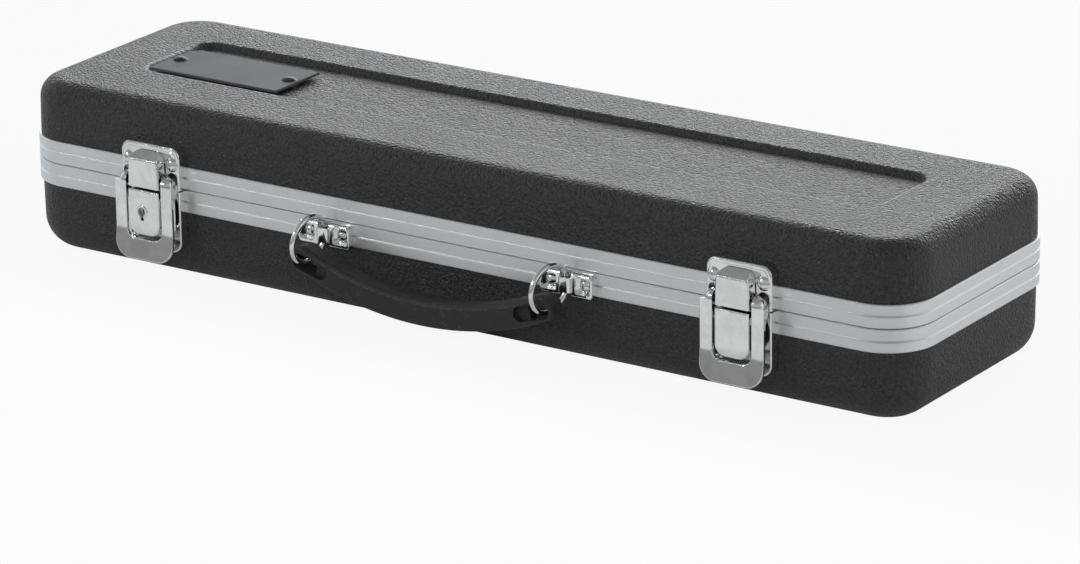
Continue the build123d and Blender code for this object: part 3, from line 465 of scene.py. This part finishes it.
def add_camera(scene, studio):
    right, up, back = camera_axes(studio)
    data = bpy.data.cameras.new("camera")
    camera = bpy.data.objects.new("camera", data)
    scene.collection.objects.link(camera)
    turn = Matrix((right, up, back)).transposed().to_4x4()
    camera.matrix_world = Matrix.Translation(Vector(studio.target) + back * studio.distance) @ turn
    data.sensor_width = SENSOR_WIDTH
    data.lens = FOCAL_PIXELS / PHOTO_WIDTH * SENSOR_WIDTH
    data.shift_x = (PHOTO_WIDTH / 2 - PRINCIPAL_POINT[0]) / PHOTO_WIDTH
    data.shift_y = (PRINCIPAL_POINT[1] - PHOTO_HEIGHT / 2) / PHOTO_WIDTH
    data.clip_start = 0.05
    data.clip_end = 60.0
    scene.camera = camera


def add_softbox(scene, name, place, aim, size, power, mirrored):
    """An area light that points at a spot."""
    data = bpy.data.lights.new(name, "AREA")
    data.shape = "RECTANGLE"
    data.size, data.size_y = size
    data.energy = power
    data.color = COOL_WHITE
    lamp = bpy.data.objects.new(name, data)
    scene.collection.objects.link(lamp)
    lamp.location = place
    lamp.rotation_euler = (Vector(aim) - Vector(place)).to_track_quat("-Z", "Y").to_euler()
    lamp.visible_camera = False
    lamp.visible_glossy = mirrored


def add_floor(scene):
    """A pale table that ends in front of the case. The camera sees it as white, with a faint shadow."""
    front, back, side = FLOOR_EDGES
    shape = bmesh.new()
    corners = [shape.verts.new(place) for place in
               ((-side, front, 0), (side, front, 0), (side, back, 0), (-side, back, 0))]
    shape.faces.new(corners)
    mesh = bpy.data.meshes.new("floor")
    shape.to_mesh(mesh)
    shape.free()
    floor = bpy.data.objects.new("floor", mesh)
    floor.location.z = -FLOOR_DROP
    scene.collection.objects.link(floor)
    finish = new_finish("floor_paper")
    grain = finish.noise(3.0, 2.0)
    paper = finish.add("ShaderNodeBsdfDiffuse", None, {"Color": finish.blend(
        (0.80, 0.80, 0.80, 1.0), (0.82, 0.82, 0.82, 1.0), grain)})
    glow = finish.add("ShaderNodeEmission", None, {"Color": shade(PAPER_WHITE), "Strength": 1.0})
    ray = finish.add("ShaderNodeLightPath")
    y = finish.axes()[1]
    bare = y.below(front, front + SHADOW_FRONT).over(y.above(*SHADOW_BACK))
    seen = Value(finish, ray.outputs["Is Camera Ray"]) * ((1 - SHADOW_SHARE) + bare * SHADOW_SHARE)
    sockets = {0: seen, 1: paper.outputs[0], 2: glow.outputs[0]}
    mesh.materials.append(finish.output(finish.add("ShaderNodeMixShader", None, sockets).outputs[0]))


def light_world(scene):
    """White walls behind and beside the case, a dim ceiling, and a dark room past the table's front."""
    world = bpy.data.worlds.new("studio")
    scene.world = world
    finish = Finish(world)
    coordinates = finish.add("ShaderNodeTexCoord")
    parts = finish.add("ShaderNodeSeparateXYZ", None, {"Vector": coordinates.outputs["Generated"]})
    depth = Value(finish, parts.outputs["Y"])
    height = Value(finish, parts.outputs["Z"])
    wall = CAMERA_WALL + depth.above(-0.55, 0.15) * (1 - CAMERA_WALL)
    level = CEILING + height.below(0.42, 0.8) * (1 - CEILING) * wall
    room = height.above(-0.3, -0.2) * height.below(-0.06, 0.02)
    level = level * (1 - room) + room * ROOM
    under = height.below(-0.3, -0.2)
    level = level * (1 - under) + under * GROUND
    ray = finish.add("ShaderNodeLightPath")
    seen = Value(finish, ray.outputs["Is Camera Ray"])
    tint = finish.blend((*COOL_WHITE, 1.0), shade(PAPER_WHITE), seen)
    sockets = {"Color": tint, "Strength": seen + (1 - seen) * level}
    finish.output(finish.add("ShaderNodeBackground", None, sockets).outputs[0])


# Lining

def voxel_copy(node_name, piece_name, spacing):
    """A clean quad copy of a CAD solid."""
    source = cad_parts[node_name]
    shape = bmesh.new()
    shape.from_mesh(source.data)
    bmesh.ops.remove_doubles(shape, verts=shape.verts, dist=1e-5)
    mesh = bpy.data.meshes.new(piece_name)
    shape.to_mesh(mesh)
    shape.free()
    piece = bpy.data.objects.new(piece_name, mesh)
    bpy.context.scene.collection.objects.link(piece)
    remesh = piece.modifiers.new("even", "REMESH")
    remesh.mode = "VOXEL"
    remesh.voxel_size = spacing
    freeze(piece)
    return piece


def freeze(piece):
    """Applies a piece's modifiers to its mesh."""
    graph = bpy.context.evaluated_depsgraph_get()
    mesh = bpy.data.meshes.new_from_object(piece.evaluated_get(graph))
    piece.modifiers.clear()
    piece.data = mesh
    mesh.shade_smooth()


def roll_rims(piece, top, roll, crown):
    """Rolls the plush over each rim and lifts it a little between them."""
    shape = bmesh.new()
    shape.from_mesh(piece.data)
    shape.normal_update()
    low = top - RIM_BAND * MM
    rims = [vert for vert in shape.verts if vert.co.z > low and abs(vert.normal.z) < 0.85]
    tree = KDTree(len(rims))
    for index, vert in enumerate(rims):
        tree.insert(vert.co, index)
    tree.balance()
    for vert in shape.verts:
        if vert.co.z > low:
            gap = tree.find(vert.co)[2] / MM
            rise = crown * (1 - math.exp(-gap / CROWN_REACH))
            drop = roll * math.exp(-(gap / ROLL_REACH) ** 2)
            vert.co.z += MM * (rise - drop)
    near = [vert for vert in shape.verts if vert.co.z > top - SMOOTH_BAND * MM]
    for _ in range(SMOOTH_PASSES):
        bmesh.ops.smooth_vert(shape, verts=near, factor=0.5, use_axis_x=True, use_axis_y=True,
                              use_axis_z=True)
    shape.to_mesh(piece.data)
    shape.free()


def seam_gap(place, low, high, lining):
    """Millimetres from a point on the lid's pad to its nearest stitched line."""
    edge_x = min(place.x - low[0], high[0] - place.x) / MM
    edge_y = min(place.y - low[1], high[1] - place.y) / MM
    border = abs(min(edge_x, edge_y) - lining.border)
    panel = ((high[0] - low[0]) / MM - 2 * lining.border) / lining.panels
    along = (place.x - low[0]) / MM - lining.border
    cross = abs((along + panel / 2) % panel - panel / 2)
    return border if edge_y < lining.border else min(border, cross)


def sink_seams(piece, low, high, lining, depth, width):
    """Draws the stitched lines into the pad's face."""
    for vert in piece.data.vertices:
        if vert.co.z < low[2] + PAD_FACE_BAND * MM:
            vert.co.z += depth * MM * math.exp(-(seam_gap(vert.co, low, high, lining) / width) ** 2)


def held_points(piece, low, high, lining):
    """The points that the stuffing cannot move: the seams and all but the pad's face."""
    face = low[2] + PAD_FACE_BAND * MM
    return [vert.index for vert in piece.data.vertices
            if vert.co.z > face or seam_gap(vert.co, low, high, lining) < HELD_WIDTH]


def stuff(piece, held, lining):
    """Blows the cover up against its seams with a cloth simulation."""
    scene = bpy.context.scene
    before = [vert.co.copy() for vert in piece.data.vertices]
    piece.vertex_groups.new(name="held").add(held, 1.0, "REPLACE")
    cloth = piece.modifiers.new("stuffing", "CLOTH")
    cloth.settings.use_pressure = True
    cloth.settings.uniform_pressure_force = lining.pressure
    cloth.settings.vertex_group_mass = "held"
    cloth.settings.effector_weights.gravity = 0.0
    cloth.point_cache.frame_start = 1
    cloth.point_cache.frame_end = CLOTH_FRAMES
    for moment in range(1, CLOTH_FRAMES + 1):
        scene.frame_set(moment)
    freeze(piece)
    scene.frame_set(1)
    moves = [vert.co - start for vert, start in zip(piece.data.vertices, before)]
    furthest = max(move.length for move in moves)
    share = min(1.0, lining.rise * MM / furthest)
    for vert, start, move in zip(piece.data.vertices, before, moves):
        vert.co = start + move * share


def soften(piece):
    """One level of subdivision, applied."""
    smooth = piece.modifiers.new("smooth", "SUBSURF")
    smooth.levels = 1
    smooth.render_levels = 1
    freeze(piece)


def cover(piece, finish):
    """Gives a piece its only material."""
    piece.data.materials.clear()
    piece.data.materials.append(finish)


def base_lining(lining, finish):
    """The moulded insert: plush drawn over every rim."""
    piece = voxel_copy("base_insert", "base_lining", lining.voxel * MM)
    roll_rims(piece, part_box("base_insert")[1][2], lining.roll, lining.crown)
    cover(piece, finish)
    return piece


def lid_lining(lining, finish):
    """The lid's stitched cushion."""
    low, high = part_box("lid_pad")
    piece = voxel_copy("lid_pad", "lid_lining", lining.pad_voxel * MM)
    sink_seams(piece, low, high, lining, lining.stitch, SEAM_WIDTH)
    stuff(piece, held_points(piece, low, high, lining), lining)
    soften(piece)
    sink_seams(piece, low, high, lining, lining.crease, CREASE_WIDTH)
    cover(piece, finish)
    return piece


# Operators

class FinishOperator(bpy.types.Operator):
    """Shared parts of the operators below."""

    bl_options = {"REGISTER", "UNDO"}

    @property
    def finishes(self):
        return bpy.context.scene.flute_case_finishes


class FLUTE_OT_shells(FinishOperator):
    """Gives the two shells their pebbled black plastic"""

    bl_idname = "flute_case.shells"
    bl_label = "Finish shells"

    def execute(self, context):
        dress(SHELLS, moulded_plastic(self.finishes))
        return {"FINISHED"}


class FLUTE_OT_valances(FinishOperator):
    """Gives the two valances their satin aluminium"""

    bl_idname = "flute_case.valances"
    bl_label = "Finish valances"

    def execute(self, context):
        dress(VALANCES, satin_aluminium(self.finishes))
        return {"FINISHED"}


class FLUTE_OT_latches(FinishOperator):
    """Plates the latches, their rivets and the lock"""

    bl_idname = "flute_case.latches"
    bl_label = "Finish latches"

    def execute(self, context):
        nickel = self.finishes.nickel
        dress(LATCH_PLATES, bright_nickel("plate_nickel", nickel, 0.05, 0.25))
        dress(LATCH_FRONTS, bright_nickel("front_nickel", nickel, 0.06, 0.15))
        dress(DOMED_RIVETS, bright_nickel("rivet_nickel", nickel, 0.04, 0.1))
        dress(PINS + ["lock_plug"], plain_steel())
        return {"FINISHED"}


class FLUTE_OT_handle(FinishOperator):
    """Finishes the grip, its rings and their brackets"""

    bl_idname = "flute_case.handle"
    bl_label = "Finish handle"

    def execute(self, context):
        dress(["handle_grip"], grip_moulding(self.finishes))
        dress(CARRIERS, bright_nickel("carrier_nickel", self.finishes.nickel, 0.05, 0.15))
        return {"FINISHED"}


class FLUTE_OT_hinges(FinishOperator):
    """Plates the hinges on the back"""

    bl_idname = "flute_case.hinges"
    bl_label = "Finish hinges"

    def execute(self, context):
        dress(HINGE_LEAVES, bright_nickel("hinge_nickel", self.finishes.nickel, 0.2, 0.2))
        dress(HINGE_RIVETS, bright_nickel("hinge_rivet_nickel", self.finishes.nickel, 0.14, 0.1))
        return {"FINISHED"}


class FLUTE_OT_nameplate(FinishOperator):
    """Finishes the blank nameplate and its two black rivets"""

    bl_idname = "flute_case.nameplate"
    bl_label = "Finish nameplate"

    def execute(self, context):
        dress(["nameplate"], blank_plate(self.finishes))
        dress(["nameplate_rivets"], black_enamel())
        return {"FINISHED"}


class FLUTE_OT_lining(FinishOperator):
    """Builds the plush-covered padding in the base and in the lid"""

    bl_idname = "flute_case.lining"
    bl_label = "Build lining"

    def execute(self, context):
        lining = context.scene.flute_case_lining
        finish = plush("plush", self.finishes.plush)
        base = base_lining(lining, finish)
        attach(base, "base")
        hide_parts("base_insert")
        lid = lid_lining(lining, finish)
        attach(lid, "lid")
        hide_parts("lid_pad")
        return {"FINISHED"}


class FLUTE_OT_studio(bpy.types.Operator):
    """Sets up the floor, the light and the camera"""

    bl_idname = "flute_case.studio"
    bl_label = "Set up studio"

    def execute(self, context):
        scene = context.scene
        scene.view_settings.view_transform = "Standard"
        add_floor(scene)
        light_world(scene)
        for name, settings in SOFTBOXES.items():
            add_softbox(scene, name, **settings)
        add_camera(scene, scene.flute_case_studio)
        return {"FINISHED"}


class FLUTE_PT_panel(bpy.types.Panel):
    """Lists the case's operators in the order in which they run."""

    bl_idname = "FLUTE_PT_panel"
    bl_label = "Flute Case"
    bl_space_type = "VIEW_3D"
    bl_region_type = "UI"
    bl_category = "Flute Case"

    def draw(self, context):
        for operator in OPERATORS:
            self.layout.operator(operator.bl_idname)
        for name in SETTINGS:
            group = getattr(context.scene, name)
            box = self.layout.box()
            for item in group.bl_rna.properties:
                if item.identifier not in ("rna_type", "name"):
                    box.prop(group, item.identifier)


SETTINGS = {
    "flute_case_finishes": FluteCaseFinishes,
    "flute_case_lining": FluteCaseLining,
    "flute_case_studio": FluteCaseStudio,
}
OPERATORS = (FLUTE_OT_shells, FLUTE_OT_valances, FLUTE_OT_latches, FLUTE_OT_handle, FLUTE_OT_hinges,
             FLUTE_OT_nameplate, FLUTE_OT_lining, FLUTE_OT_studio)


def register():
    for group in SETTINGS.values():
        bpy.utils.register_class(group)
    for operator in OPERATORS:
        bpy.utils.register_class(operator)
    bpy.utils.register_class(FLUTE_PT_panel)
    for name, group in SETTINGS.items():
        setattr(bpy.types.Scene, name, PointerProperty(type=group))


def unregister():
    for name in SETTINGS:
        delattr(bpy.types.Scene, name)
    bpy.utils.unregister_class(FLUTE_PT_panel)
    for operator in reversed(OPERATORS):
        bpy.utils.unregister_class(operator)
    for group in SETTINGS.values():
        bpy.utils.unregister_class(group)


def main():
    """Builds the whole scene."""
    register()
    bpy.ops.flute_case.shells()
    bpy.ops.flute_case.valances()
    bpy.ops.flute_case.latches()
    bpy.ops.flute_case.handle()
    bpy.ops.flute_case.hinges()
    bpy.ops.flute_case.nameplate()
    bpy.ops.flute_case.lining()
    bpy.ops.flute_case.studio()


if __name__ == "__main__":
    main()
